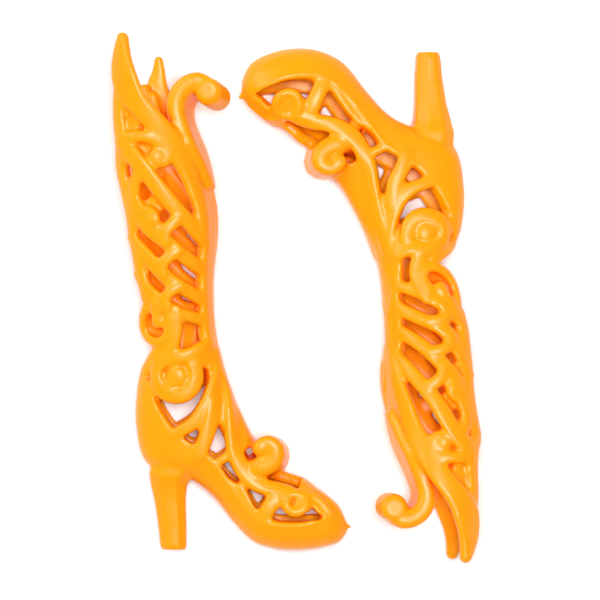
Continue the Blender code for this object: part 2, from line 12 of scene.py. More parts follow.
import bpy
import numpy as np
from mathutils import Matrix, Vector


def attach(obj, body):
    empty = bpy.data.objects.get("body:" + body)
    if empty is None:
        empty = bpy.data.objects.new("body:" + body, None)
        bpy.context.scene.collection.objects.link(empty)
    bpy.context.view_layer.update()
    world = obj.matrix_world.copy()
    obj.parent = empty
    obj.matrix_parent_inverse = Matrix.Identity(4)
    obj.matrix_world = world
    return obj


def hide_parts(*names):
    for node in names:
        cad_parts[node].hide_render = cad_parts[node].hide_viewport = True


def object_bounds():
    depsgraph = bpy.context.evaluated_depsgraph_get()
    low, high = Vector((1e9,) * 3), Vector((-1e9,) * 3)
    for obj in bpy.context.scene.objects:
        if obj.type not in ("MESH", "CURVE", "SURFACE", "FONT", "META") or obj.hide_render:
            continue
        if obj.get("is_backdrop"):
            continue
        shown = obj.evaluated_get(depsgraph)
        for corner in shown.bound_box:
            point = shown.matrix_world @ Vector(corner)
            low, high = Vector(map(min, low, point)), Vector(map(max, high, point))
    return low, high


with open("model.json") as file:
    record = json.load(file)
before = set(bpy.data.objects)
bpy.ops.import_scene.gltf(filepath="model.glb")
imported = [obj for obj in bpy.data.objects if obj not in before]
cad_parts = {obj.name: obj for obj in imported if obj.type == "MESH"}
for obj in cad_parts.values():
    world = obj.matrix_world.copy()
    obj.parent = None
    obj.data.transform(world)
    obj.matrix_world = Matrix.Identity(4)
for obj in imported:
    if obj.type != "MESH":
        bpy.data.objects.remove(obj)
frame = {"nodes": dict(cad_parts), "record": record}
frame_box = [list(corner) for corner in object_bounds()]
MM = 0.001        # the frame is in metres; the shapes below are drawn in millimetres

# %% [markdown]
# ## The last
#
# A shoe is built on a last, and so is this one.  The leg and foot are a smooth skin through
# oval sections, each given by its back or sole point, its front point and its half width, in a
# side view of the boot: X from heel to toe and Z from heel tip to knee, in millimetres.  Soft
# plastic leans as it lies, so the far side of a section slides forwards and up by its lean.
# A skin in numbers was chosen over a sculpted surface because every vine has to lie on it.

# %% Sections of both lasts
LEFT_SECTIONS = [
    ((-5.2, 76.0), (7.8, 76.0), 6.4, (0.38, -0.15)),
    ((-5.8, 66.0), (7.6, 66.0), 6.3, (0.33, -0.05)),
    ((-5.25, 57.0), (7.9, 57.0), 6.1, (0.27, 0.00)),
    ((-3.85, 47.8), (9.5, 47.8), 5.9, (0.20, 0.02)),
    ((-2.9, 40.0), (9.1, 40.0), 5.2, (0.15, 0.05)),
    ((-1.9, 33.5), (9.25, 33.5), 4.5, (0.12, 0.08)),
    ((-0.9, 29.3), (9.9, 28.6), 4.1, (0.10, 0.08)),
    ((-2.0, 24.0), (11.2, 24.2), 3.9, (0.05, 0.08)),
    ((-2.2, 18.0), (12.9, 20.6), 3.8, (0.03, 0.10)),
    ((-0.6, 12.7), (14.3, 17.6), 3.7, (0.00, 0.10)),
    ((5.0, 10.8), (15.6, 15.4), 3.5, (0.00, 0.10)),
    ((9.0, 7.9), (16.8, 13.4), 3.4, (0.00, 0.10)),
    ((12.0, 4.1), (18.2, 11.9), 3.6, (0.00, 0.10)),
    ((15.0, 1.2), (19.8, 11.3), 3.9, (0.00, 0.10)),
    ((18.5, 0.15), (21.6, 10.9), 4.1, (0.00, 0.10)),
    ((22.0, 0.05), (23.4, 9.7), 4.0, (0.00, 0.10)),
    ((25.0, 0.45), (25.6, 8.1), 3.3, (0.00, 0.08)),
    ((27.4, 1.2), (27.4, 6.5), 1.9, (0.00, 0.05)),
    ((28.6, 2.6), (28.5, 4.2), 0.35, (0.00, 0.00)),
]
RIGHT_SECTIONS = [
    ((-3.6, 76.0), (8.2, 76.0), 6.4, (0.16, 0.00)),
    ((-4.2, 66.0), (8.0, 66.0), 6.3, (0.18, 0.00)),
    ((-4.35, 57.5), (8.4, 57.0), 6.1, (0.24, 0.03)),
    ((-3.5, 49.5), (9.7, 49.0), 5.9, (0.25, 0.06)),
    ((-2.8, 41.5), (9.45, 42.0), 5.2, (0.25, 0.10)),
    ((-1.0, 35.3), (10.0, 35.0), 4.5, (0.25, 0.12)),
    ((0.4, 31.2), (10.9, 30.3), 4.1, (0.28, 0.15)),
    ((-1.4, 26.5), (12.6, 26.6), 3.9, (0.30, 0.18)),
    ((-1.85, 20.5), (14.4, 23.0), 3.8, (0.30, 0.22)),
    ((-0.4, 14.5), (16.2, 20.0), 3.7, (0.28, 0.25)),
    ((5.0, 12.0), (17.8, 18.5), 3.5, (0.25, 0.28)),
    ((9.0, 10.0), (19.3, 16.4), 3.5, (0.20, 0.30)),
    ((12.4, 6.4), (20.6, 14.6), 3.7, (0.15, 0.30)),
    ((15.6, 2.4), (22.2, 13.6), 4.0, (0.10, 0.30)),
    ((19.2, 0.5), (24.0, 12.0), 4.2, (0.05, 0.25)),
    ((23.0, 0.15), (26.0, 11.0), 4.1, (0.00, 0.20)),
    ((26.4, 0.8), (28.2, 9.4), 3.4, (0.00, 0.10)),
    ((29.2, 2.3), (29.8, 7.9), 2.0, (0.00, 0.05)),
    ((30.5, 4.8), (30.5, 6.9), 0.35, (0.00, 0.00)),
]
NEAR, FAR = -1, 1      # sides of a boot: near looks up as it lies, far rests on the table
GUESSES_PER_SECTION, GUESSES_ACROSS = 14, 61    # grid of first guesses on each last
NEWTON_STEPS = 5
OUTERMOST = 0.995      # furthest position located: the front and back lines have no slope


# %% Skin through the sections
def catmull_rom(a, b, c, d, s):
    """The curve from b to c at share s, where a and d are the points beyond them."""
    return 0.5 * (2 * b + (c - a) * s + (2 * a - 5 * b + 4 * c - d) * s ** 2
                  + (3 * b - a - 3 * c + d) * s ** 3)


class Last:
    """The smooth skin that the lattice follows.  Points are (X, Z, height over the middle)."""

    def __init__(self, sections):
        table = np.array([[*back, *front, width, *lean] for back, front, width, lean in sections])
        self.middle = (table[:, 0:2] + table[:, 2:4]) / 2
        self.reach = (table[:, 2:4] - table[:, 0:2]) / 2
        self.width = table[:, 4]
        self.lean = table[:, 5:7]
        grid = np.meshgrid(np.linspace(0, len(table) - 1, GUESSES_PER_SECTION * len(table)),
                           np.sin(np.linspace(-1.5, 1.5, GUESSES_ACROSS)), indexing="ij")
        self.grid_t, self.grid_v = grid[0].ravel(), grid[1].ravel()
        self.grid = self.point(self.grid_t, self.grid_v, NEAR)[:, :2]

    def between(self, table, t):
        """Smooth value of a section quantity at position t."""
        t = np.clip(t, 0, len(table) - 1)
        i = np.minimum(t.astype(int), len(table) - 2)
        s = t - i
        if table.ndim > 1:
            s = s[:, None]
        return catmull_rom(table[np.maximum(i - 1, 0)], table[i], table[i + 1],
                           table[np.minimum(i + 2, len(table) - 1)], s)

    def point(self, t, v, side, depth=0.0):
        """The skin at section t and position v (-1 back or sole, 1 front), depth under it."""
        t, v = np.atleast_1d(np.asarray(t, float)), np.atleast_1d(np.asarray(v, float))
        reach = self.between(self.reach, t)
        length = np.linalg.norm(reach, axis=1)
        half = np.maximum(self.between(self.width, t) - depth, 0.05)
        bulge = np.sqrt(np.clip(1 - v * v, 0, 1)) * half
        along = reach * (v * (1 - depth / length))[:, None]
        sideways = side * bulge[:, None] * self.between(self.lean, t)
        return np.column_stack([self.between(self.middle, t) + along + sideways, -side * bulge])

    def locate(self, flat):
        """Section and position under each (X, Z) of the near side, by Newton's steps."""
        flat = np.asarray(flat, float)
        nearest = [int(np.argmin(np.sum((self.grid - spot) ** 2, axis=1))) for spot in flat]
        t, v = self.grid_t[nearest], self.grid_v[nearest]
        small_t, small_v = 0.01, 0.005
        for _ in range(NEWTON_STEPS):
            here = self.point(t, v, NEAR)[:, :2]
            dt = (self.point(t + small_t, v, NEAR)[:, :2] - here) / small_t
            dv = (self.point(t, v + small_v, NEAR)[:, :2] - here) / small_v
            miss = flat - here
            cross = dt[:, 0] * dv[:, 1] - dt[:, 1] * dv[:, 0]
            cross = np.where(np.abs(cross) < 1e-3, np.inf, cross)
            step_t = (miss[:, 0] * dv[:, 1] - miss[:, 1] * dv[:, 0]) / cross
            step_v = (dt[:, 0] * miss[:, 1] - dt[:, 1] * miss[:, 0]) / cross
            t = t + np.clip(step_t, -0.2, 0.2)
            v = np.clip(v + np.clip(step_v, -0.1, 0.1), -OUTERMOST, OUTERMOST)
        return t, v


left_last, right_last = Last(LEFT_SECTIONS), Last(RIGHT_SECTIONS)
print("lasts with", len(left_last.width), "and", len(right_last.width), "sections")

# %% [markdown]
# ## The right boot is the left one, set down in another shape
#
# Both boots come from one mould, so the lattice is drawn once, for the left boot.  The right
# one was bent as it was laid down: its foot points further out and its ankle is more closed.
# Marks that can be found on both boots carry the drawing from one to the other, with a
# thin-plate map, which passes near every mark and stays as flat as it can in between.

# %% Marks on the two boots
RIGHT_MARKS = [    # (X, Z) on the left boot, then on the right one
    (-4.1, 75.2, -2.1, 74.7), (-5.5, 66.5, -4.0, 66.5), (1.8, 62.8, 2.0, 63.5),
    (-0.2, 61.0, 1.15, 60.4), (4.3, 57.2, 4.6, 57.2), (6.5, 69.7, 7.0, 69.9),
    (8.0, 66.8, 7.9, 66.9), (1.5, 57.3, 1.6, 57.3), (6.1, 49.7, 5.9, 49.8),
    (-5.1, 57.0, -4.25, 57.4), (-1.4, 53.0, -1.3, 54.6), (0.1, 51.6, -0.1, 52.7),
    (3.7, 48.6, 2.5, 49.8), (1.1, 47.0, 0.3, 48.2), (-3.85, 47.8, -3.5, 50.0),
    (3.2, 46.0, 2.2, 46.8), (6.9, 43.4, 7.8, 42.8), (1.6, 43.2, 0.1, 44.9),
    (2.3, 40.9, 0.6, 42.3), (7.0, 38.3, 8.0, 39.1), (-2.9, 40.0, -2.75, 41.8),
    (2.8, 36.3, 1.2, 38.3), (8.3, 34.5, 8.5, 35.6), (0.5, 32.7, 1.4, 34.4),
    (4.9, 33.2, 6.2, 34.0), (3.2, 29.2, 4.9, 30.4), (8.2, 30.8, 7.9, 31.2),
    (3.6, 25.4, 3.4, 26.9), (3.3, 18.2, 2.5, 20.7), (9.2, 25.9, 8.5, 26.7),
    (-1.7, 26.7, -1.1, 29.0), (10.4, 22.8, 9.9, 23.8), (8.0, 14.7, 7.2, 16.4),
    (9.8, 13.0, 9.95, 14.7), (11.3, 17.5, 11.1, 17.8), (12.3, 18.0, 12.3, 18.5),
    (11.9, 10.9, 12.1, 12.6), (14.4, 8.7, 15.0, 10.1), (17.0, 8.0, 19.0, 9.4),
    (15.5, 5.95, 17.5, 6.3), (16.2, 14.7, 16.6, 16.5), (21.2, 7.0, 23.9, 8.4),
    (17.8, 4.5, 20.0, 4.8), (24.9, 4.9, 28.6, 7.0), (28.7, 3.4, 30.6, 7.1),
    (9.0, 7.9, 9.3, 9.8), (15.0, 1.2, 16.3, 1.9), (21.0, 0.0, 22.5, 0.15),
    (5.6, 10.7, 5.6, 11.9), (1.5, 0.0, 1.8, 0.55), (5.1, 0.5, 4.9, 1.0),
]


# %% Map from one boot to the other
class Warp:
    """Thin-plate map of the side view that carries each mark to its place."""

    def __init__(self, marks, stiffness=0.4):
        table = np.array(marks, float)
        self.source, target = table[:, :2], table[:, 2:]
        count = len(table)
        system = np.zeros((count + 3, count + 3))
        system[:count, :count] = self.bend(self.source) + stiffness * np.eye(count)
        system[:count, count:] = np.hstack([np.ones((count, 1)), self.source])
        system[count:, :count] = system[:count, count:].T
        self.weights = np.linalg.solve(system, np.vstack([target - self.source, np.zeros((3, 2))]))

    def bend(self, points):
        """The thin-plate kernel between every point and every mark."""
        gap = np.linalg.norm(points[:, None, :] - self.source[None, :, :], axis=2)
        return gap * gap * np.log(gap + 1e-9)

    def __call__(self, points):
        points = np.atleast_2d(np.array(points, float))
        basis = np.hstack([self.bend(points), np.ones((len(points), 1)), points])
        return points + basis @ self.weights


to_right = Warp(RIGHT_MARKS)
print("toe of the right boot at", np.round(to_right([(28.7, 3.4)])[0], 1))

# %% [markdown]
# ## The vines
#
# Each vine is a flat, rounded strand of plastic on the skin: a run of (X, Z, width).  In the
# real mould they are channels cut side by side, so they run into one another, and a shallow V
# is left between them.  They could be bevelled curves, but a curve's profile turns freely and
# would not lie flat on the leg, so the rings of each strand are laid out on the skin in code.

# %% Runs of the vines
VINES = {
    "spike": [(-4.1, 74.4, 1.7), (-4.2, 73.2, 2.5), (-4.25, 71.6, 3.4), (-4.1, 69.8, 4.2),
              (-3.6, 67.8, 4.5), (-2.6, 65.9, 3.9), (-1.2, 64.2, 3.4), (0.4, 62.6, 3.3),
              (1.9, 61.0, 3.4), (3.3, 59.2, 3.5), (4.6, 57.2, 3.4), (5.8, 55.0, 3.2),
              (6.8, 52.3, 3.1), (7.6, 49.6, 2.9), (8.0, 46.6, 2.4)],
    "front": [(5.6, 57.8, 1.6), (6.7, 55.4, 2.4), (7.9, 52.4, 2.8), (8.6, 49.6, 3.0),
              (8.8, 46.5, 3.0), (8.5, 43.0, 2.8), (8.3, 39.5, 2.4), (8.4, 36.0, 2.2),
              (8.6, 33.0, 2.4), (9.1, 30.0, 2.8), (9.9, 27.0, 2.6)],
    "back_edge": [(-4.8, 68.0, 1.6), (-4.9, 66.0, 2.0), (-4.9, 63.6, 2.2), (-4.7, 61.2, 2.4),
                  (-4.4, 58.6, 2.8), (-4.6, 56.0, 2.4), (-4.2, 53.5, 2.0), (-3.6, 51.0, 2.2),
                  (-3.1, 48.6, 2.3), (-2.9, 46.0, 1.9), (-2.4, 43.6, 2.0), (-1.9, 41.2, 2.1),
                  (-1.3, 38.8, 2.1), (-0.8, 36.6, 2.0)],
    "top_curl": [(-4.1, 59.6, 2.3), (-2.5, 60.1, 1.9), (-0.8, 60.2, 1.8), (0.9, 59.7, 2.2),
                 (2.2, 58.5, 2.6), (2.4, 57.1, 2.6), (1.4, 56.7, 2.5), (0.9, 57.1, 2.2)],
    "knee_floor": [(-3.9, 66.6, 1.6), (-3.5, 64.6, 2.0), (-3.1, 62.4, 2.2), (-2.9, 60.6, 2.2)],
    "knee_band": [(-4.2, 59.2, 2.4), (-3.0, 57.8, 2.8), (-1.4, 55.9, 2.7), (0.1, 54.1, 2.6),
                  (1.7, 52.2, 2.6), (3.3, 50.4, 2.5), (5.1, 48.5, 2.4), (6.9, 46.6, 2.4),
                  (8.3, 44.9, 2.2)],
    "middle": [(-1.5, 55.2, 1.6), (-2.4, 53.9, 1.9), (-2.7, 51.6, 2.2), (-2.0, 49.4, 2.8),
               (-0.6, 47.4, 2.9), (1.1, 45.9, 2.6), (2.9, 44.5, 2.4), (4.6, 43.2, 2.3),
               (6.4, 42.0, 2.3), (8.4, 40.6, 2.2)],
    "middle_rung": [(2.2, 44.9, 1.8), (2.1, 46.3, 1.9), (3.1, 47.4, 2.0), (4.6, 48.6, 1.9)],
    "middle_hook": [(-1.8, 49.4, 2.0), (-0.6, 49.4, 1.8), (0.3, 48.8, 2.0), (0.5, 48.0, 1.8)],
    "lower": [(-3.0, 45.6, 2.0), (-1.7, 43.9, 2.3), (-0.2, 42.3, 2.4), (1.3, 40.8, 2.5),
              (2.8, 39.4, 2.3), (4.4, 38.5, 2.2), (6.3, 37.5, 2.2), (8.5, 36.3, 2.2)],
    "lower_rung": [(1.8, 40.2, 1.8), (1.7, 41.6, 1.8), (2.7, 42.7, 1.8), (4.2, 43.7, 1.8)],
    "bottom": [(-2.1, 40.3, 1.8), (-1.0, 38.4, 2.1), (0.4, 36.9, 2.4), (2.0, 35.6, 2.3),
               (3.7, 34.7, 2.0), (5.6, 34.2, 1.9), (7.2, 33.8, 1.9), (8.8, 33.2, 1.8)],
    "bottom_rung": [(2.4, 35.4, 1.7), (2.2, 36.8, 1.7), (3.0, 37.8, 1.7), (4.5, 38.5, 1.7)],
    "curl_ring": [(-0.9, 35.2, 1.6), (-1.4, 33.8, 1.4), (-1.3, 32.2, 1.4), (-0.5, 30.9, 1.5),
                  (0.9, 30.4, 1.5), (2.1, 31.0, 1.5), (2.7, 32.4, 1.5), (2.8, 34.0, 1.7)],
    "curl_tongue": [(0.6, 36.2, 1.8), (0.7, 34.8, 1.5), (0.8, 33.4, 1.5)],
    "ankle_post": [(3.5, 34.8, 2.4), (3.5, 32.6, 2.5), (3.1, 30.6, 2.5), (2.5, 28.8, 2.4)],
    "scroll": [(8.6, 29.8, 2.4), (7.2, 29.0, 2.5), (5.2, 28.3, 2.4), (3.0, 28.1, 2.2),
               (1.3, 27.3, 2.1), (0.6, 25.7, 2.2), (0.9, 24.0, 2.4), (2.1, 22.9, 2.4),
               (3.7, 22.5, 2.4), (5.3, 22.9, 2.4), (6.4, 24.0, 2.4), (6.8, 25.5, 2.4),
               (6.4, 27.2, 2.4)],
    "heel_web": [(-1.2, 26.3, 2.0), (-0.4, 27.6, 2.0), (0.7, 28.9, 2.2)],
    "scroll_join": [(6.8, 27.2, 2.4), (8.1, 27.9, 2.2), (9.4, 28.6, 2.0)],
    "scroll_root": [(2.0, 23.7, 2.2), (2.7, 24.4, 2.0), (3.5, 25.2, 2.0)],
    "vamp": [(10.1, 29.0, 2.6), (10.9, 26.4, 2.7), (11.5, 23.4, 2.8), (12.0, 20.4, 2.9),
             (12.3, 17.2, 2.9), (12.6, 14.4, 2.7), (13.5, 12.0, 2.7), (14.9, 10.4, 2.7),
             (16.6, 9.5, 2.5), (18.4, 9.3, 2.4), (20.2, 8.8, 2.4)],
    "bridge": [(8.9, 12.4, 1.4), (10.4, 13.2, 1.4), (11.8, 14.2, 1.5)],
    "toe_ring": [(20.9, 8.5, 1.5), (22.1, 8.2, 1.4), (22.6, 7.1, 1.4), (22.1, 6.0, 1.4),
                 (21.0, 5.6, 1.4), (20.0, 6.1, 1.4), (19.7, 7.2, 1.5), (20.1, 8.3, 1.6)],
    "toe_rung": [(18.9, 8.6, 2.6), (17.8, 7.1, 2.5), (16.9, 5.7, 2.4), (16.5, 4.5, 2.3)],
    "collar": [(10.2, 27.6, 2.2), (9.9, 25.2, 2.4), (9.2, 22.6, 2.7), (8.0, 20.4, 2.6),
               (6.2, 18.5, 2.1), (4.3, 17.4, 1.9), (2.8, 16.6, 1.7)],
    "collar_fork": [(9.4, 21.8, 2.4), (8.9, 18.8, 2.5), (8.0, 16.2, 2.4), (7.0, 14.0, 2.4)],
}
FAR_VINES = {        # more of them, on the far side only
    "far_post": [(5.3, 34.6, 2.4), (5.1, 31.5, 2.8), (4.8, 28.4, 2.4)],
    "far_rim": [(15.6, 13.4, 1.6), (17.2, 12.0, 1.7), (18.9, 11.3, 1.7), (20.8, 10.6, 1.7),
                (22.4, 9.8, 1.6)],
}
KNEE_CURL = [(7.3, 53.4, 1.6), (6.4, 56.2, 2.0), (5.3, 59.0, 2.3), (4.2, 61.6, 2.5),
             (3.5, 64.0, 2.6), (3.8, 66.2, 2.7), (5.0, 67.7, 2.8), (6.7, 68.3, 2.8),
             (7.9, 67.6, 2.8)]
INSTEP_CURL = [(12.6, 13.4, 2.4), (14.2, 12.4, 2.6), (16.2, 12.2, 2.8), (17.8, 13.3, 2.9),
               (18.0, 14.9, 2.7), (16.9, 15.8, 2.4), (15.9, 15.3, 2.2)]
LEFT_FAR_SPIKE = [(-3.3, 72.9, 1.3), (-3.2, 71.2, 1.9), (-3.3, 69.6, 2.7), (-3.2, 67.8, 3.5)]
SPIKE_TIP = 5         # points of the spike that this blunt far one stands in for
FLUSH = 0.1           # how far most vines stand out of the skin
PROUD = {"spike": 0.45, "knee_floor": -0.65, "knee_band": 0.3, "top_curl": 0.25,
         "middle_rung": 0.35, "lower_rung": 0.35, "bottom_rung": 0.35, "curl_ring": 0.25,
         "curl_tongue": 0.3, "ankle_post": 0.2, "scroll": 0.35, "scroll_root": 0.3,
         "vamp": 0.3, "collar": 0.2, "collar_fork": 0.35, "toe_ring": 0.35}
print(len(VINES), "vines on each side of each boot")

# %% [markdown]
# ## From strands and sections to solids
#
# Strands, floors and the shoe's wall are all tubes: closed rings of points, joined one to the
# next and capped at both ends.  One builder makes them all, in the boot's own side view with
# Z as the second axis and height as the third, and the whole boot is laid down at the end.

# %% Tube and skin helpers
RING = 12              # points round a strand
SQUARENESS = 0.65      # below 1, a strand's section is a rounded box and not an ellipse
STRAND_THICK, LINE_THICK = 1.7, 0.8
STEP = 0.7             # length of one facet along a strand
CAP_TURNS = (30, 55, 78)        # degrees round a strand's end at which it has a ring
CROWN = ((-1, 0.75), (-0.8, 0.25), (-0.35, 0.0),    # rounded edge of a ribbon: share of its
         (0.35, 0.0), (0.8, 0.25), (1, 0.75))       # half thickness, and drop
DISC_SHARES = (0.05, 0.35, 0.6, 0.8, 0.93, 1.0)     # rings of a disc, as shares of its radius
DISC_POINTS = 24


def smooth_run(points, step=STEP):
    """Smooth curve through the rows of points, cut into facets of about step."""
    rows = np.array(points, float)
    padded = np.vstack([2 * rows[0] - rows[1], rows, 2 * rows[-1] - rows[-2]])
    out = []
    for a, b, c, d in zip(padded, padded[1:], padded[2:], padded[3:]):
        count = max(1, round(float(np.hypot(*(c - b)[:2])) / step))
        out += [catmull_rom(a, b, c, d, s) for s in np.arange(count) / count]
    return np.array(out + [rows[-1]])


def tube(rings):
    """A mesh object from closed rings of points in millimetres, shape (rings, points, 3)."""
    rings = np.asarray(rings, float)
    rows, cols = rings.shape[:2]
    faces = [(i * cols + k, i * cols + (k + 1) % cols, (i + 1) * cols + (k + 1) % cols,
              (i + 1) * cols + k) for i in range(rows - 1) for k in range(cols)]
    faces += [tuple(range(cols))[::-1], tuple((rows - 1) * cols + k for k in range(cols))]
    mesh = bpy.data.meshes.new("part")
    mesh.from_pydata((rings.reshape(-1, 3) * MM).tolist(), [], faces)
    part = bpy.data.objects.new("part", mesh)
    bpy.context.scene.collection.objects.link(part)
    return part


def unit(rows):
    """The rows with their lengths made 1."""
    return rows / np.linalg.norm(rows, axis=-1, keepdims=True)


def boxy(values):
    """Cosines or sines of a circle, swollen towards those of a rounded box."""
    return np.sign(values) * np.abs(values) ** SQUARENESS


def strand(last, run, side, lift=FLUSH, thick=STRAND_THICK):
    """A rounded strand along a run on the skin."""
    t, v = last.locate(run[:, :2])
    outer = last.point(t, v, side)
    up = unit(outer - last.point(t, v, side, 1.0))
    ahead = unit(np.gradient(outer, axis=0))
    across = unit(np.cross(ahead, up))
    half = run[:, 2] / 2
    angles = np.arange(RING) * 2 * math.pi / RING
    wide, tall = boxy(np.cos(angles)), boxy(np.sin(angles))
    rows = [(0, -1, turn) for turn in CAP_TURNS[::-1]] + [(i, 0, 0) for i in range(len(run))]
    rows += [(len(run) - 1, 1, turn) for turn in CAP_TURNS]
    rings = []
    for i, way, turn in rows:
        shrink, reach = math.cos(math.radians(turn)), half[i] * math.sin(math.radians(turn))
        centre = outer[i] + up[i] * (lift - thick / 2) + ahead[i] * way * reach
        rings.append(centre + across[i] * half[i] * shrink * wide[:, None]
                     + up[i] * thick / 2 * (0.4 + 0.6 * shrink) * tall[:, None])
    return tube(rings)


def ribbon(run, high, low, lean):
    """A ribbon rolled in the side view, from a near edge at height high to a far edge.

    low holds the far edge's height at the root and at the rolled end.  The ribbon leans.
    """
    ahead = unit(np.gradient(run[:, :2], axis=0))
    across = np.column_stack([-ahead[:, 1], ahead[:, 0]]) * run[:, 2:3] / 2
    rise = np.minimum(1, 0.3 + np.linspace(0, 2.4, len(run)))    # it grows out of the shaft
    rings = []
    for spot, way, up, foot in zip(run[:, :2], across, rise, np.linspace(*low, len(run))):
        outline = [(reach, high * up - drop) for reach, drop in CROWN]
        outline += [(-reach, foot * up + drop) for reach, drop in CROWN]
        rings.append([(*(spot + way * reach + np.array(lean) * (high - height)), height)
                      for reach, height in outline])
    return tube(rings)


def disc(last, centre, radius, side, top, bottom=1.35, crown=0.0):
    """A round floor or boss that follows the skin, from top over it to bottom under it."""
    angles = np.linspace(0, 2 * math.pi, DISC_POINTS, endpoint=False)
    round_ = np.column_stack([np.cos(angles), np.sin(angles)])
    rings = []
    for layer in (1, -1):
        for share in DISC_SHARES[::layer]:
            t, v = last.locate(np.array(centre) + round_ * radius * share)
            depth = -top - crown * math.sqrt(1 - share * share) if layer == 1 else bottom
            rings.append(last.point(t, v, side, depth))
    return tube(rings)


# %% [markdown]
# ## The shoe, the toe cap and the shin
#
# Under the vines the shoe is a closed wall round the sole and counter, open along a rim.  The
# toe cap and the narrow shin are walls round the front.  Each is a row of U-shaped rings
# round the last, from one edge over the pole to the other edge and back along the inside.

# %% Edges and walls
RIM = [(-1.9, 26.9), (-0.9, 25.2), (0.0, 23.0), (0.8, 21.1), (1.9, 19.3), (3.1, 17.8),
       (4.6, 16.5), (6.8, 15.2), (8.9, 13.8), (10.2, 12.4), (11.1, 10.8), (12.2, 9.9),
       (13.4, 9.5), (14.4, 8.0), (15.3, 6.0), (16.4, 4.8), (17.8, 4.3), (19.4, 4.1),
       (21.4, 4.1), (23.6, 4.5), (26.0, 4.7), (28.3, 4.0)]
CAP_RIM = [(20.4, 10.2), (21.4, 9.6), (22.6, 8.6), (23.3, 7.2), (24.3, 5.6), (25.4, 4.9),
           (27.0, 4.4), (28.3, 4.0)]
SHOE_WALL = 1.5
WALL_POINTS = 14       # points of a ring from its edge to the pole
SOLE_POLE, FRONT_POLE = -1, 1


def edge_along(last, run, stations):
    """Position on the skin, at each station, of an edge drawn in the side view."""
    t, v = last.locate(run)
    order = np.argsort(t)
    return np.interp(stations, t[order], v[order])


def wall(last, stations, edge, pole, outside=0.0, thick=SHOE_WALL):
    """Wall round one end of the sections, from its near edge over the pole to its far edge."""
    rings = []
    for t, stop in zip(stations, edge):
        start = math.asin(min(max(stop, -0.98), 0.98))
        angles = np.linspace(start, pole * math.pi / 2, WALL_POINTS)
        t_row = np.full(WALL_POINTS, t)
        layers = []
        for depth in (-outside, thick):
            near = last.point(t_row, np.sin(angles), NEAR, depth)
            far = last.point(t_row[1:], np.sin(angles[-2::-1]), FAR, depth)
            layers.append(np.vstack([near, far]))
        rings.append(np.vstack([layers[0], layers[1][::-1]]))
    return tube(rings)


# %% [markdown]
# ## The heel
#
# The heel is a tapered column with flat faces and a tip like a small foot.  It is drawn up
# as by hand: an eight-sided disc at the tip, extruded ring by ring and resized, up into the
# seat.  The right boot's heel is the same one, bent by the map.

# %% Heel column, rolls and toe nub
HEEL = [    # rings of the left boot's heel: height, back edge, front edge and half width
    (0.0, 1.55, 4.95, 1.4), (0.5, 1.3, 5.12, 1.55), (3.5, 1.0, 5.1, 1.6), (7.0, 0.5, 5.0, 1.8),
    (9.3, 0.0, 5.15, 2.1), (10.9, -0.3, 6.0, 2.6), (12.9, 0.1, 7.8, 2.6),
]
HEEL_CORNERS = 8
HEEL_SECTION = 9.0               # section of the last whose lean the heel takes
NUB = (28.75, 3.45, 0.42)        # flash left at the toe by the mould: place and radius
ROLL_BEVEL = 0.9


def heel(rings, lean):
    """The heel column from rings of height, back edge, front edge and half width."""
    bpy.ops.object.select_all(action="DESELECT")
    half_turn = math.pi / HEEL_CORNERS        # turned so that flats, not corners, face outwards
    bpy.ops.mesh.primitive_circle_add(vertices=HEEL_CORNERS, radius=MM / math.cos(half_turn),
                                      fill_type="NGON", rotation=(math.pi / 2, half_turn, 0))
    part = bpy.context.object
    bpy.ops.object.transform_apply(location=False, rotation=True, scale=False)
    bpy.ops.object.mode_set(mode="EDIT")
    bpy.ops.mesh.select_all(action="SELECT")
    was = (0.0, -1.0, 1.0, 1.0)        # the disc as it was added
    for number, ring in enumerate(rings):
        rise, back, front, half = ring
        centre = ((back + front) / 2 * MM, rise * MM, 0.0)
        move = (centre[0] - (was[1] + was[2]) / 2 * MM, (rise - was[0]) * MM, 0.0)
        if number:
            bpy.ops.mesh.extrude_region_move(TRANSFORM_OT_translate={"value": move})
        else:
            bpy.ops.transform.translate(value=move)
        grow = ((front - back) / (was[2] - was[1]), 1.0, half / was[3])
        bpy.ops.transform.resize(value=grow, center_override=centre)
        was = ring
    bpy.ops.object.mode_set(mode="OBJECT")
    for vert in part.data.vertices:
        vert.co.x -= vert.co.z * lean
    return part


def roll(place, radius, high, low, lean):
    """The round roll that ends a curled ribbon: a cylinder with soft rims, leaning like it."""
    bpy.ops.object.select_all(action="DESELECT")
    bpy.ops.mesh.primitive_cylinder_add(
        vertices=36, radius=radius * MM, depth=(high - low) * MM,
        location=(place[0] * MM, place[1] * MM, (high + low) / 2 * MM))
    part = bpy.context.object
    bpy.ops.object.transform_apply(location=True, rotation=False, scale=False)
    part.modifiers.new("rims", "BEVEL").width = ROLL_BEVEL * MM
    part.modifiers["rims"].segments = 4
    bpy.ops.object.modifier_apply(modifier="rims")
    for vert in part.data.vertices:
        down = high * MM - vert.co.z
        vert.co.x += lean[0] * down
        vert.co.y += lean[1] * down
    return part


def nub(place):
    """The nub of flash at the toe: a small ball, flattened along the parting line."""
    bpy.ops.object.select_all(action="DESELECT")
    x, z, radius = place
    bpy.ops.mesh.primitive_ico_sphere_add(subdivisions=3, radius=radius * MM,
                                          location=(x * MM, z * MM, 0.0), scale=(1.1, 0.8, 0.7))
    part = bpy.context.object
    bpy.ops.object.transform_apply(location=True, rotation=False, scale=True)
    return part


# %% [markdown]
# ## Scroll floors, bosses and raised lines
#
# A scroll is a disc with a groove that winds round a boss.  The floor of the groove is a
# sunken disc, the vine lies round it, and the boss stands in the middle.  Raised lines are
# strands too, only thin: the bead along the shoe's rim, the seat line over the heel, the two
# ribs on the toe cap and the welt just above the sole.

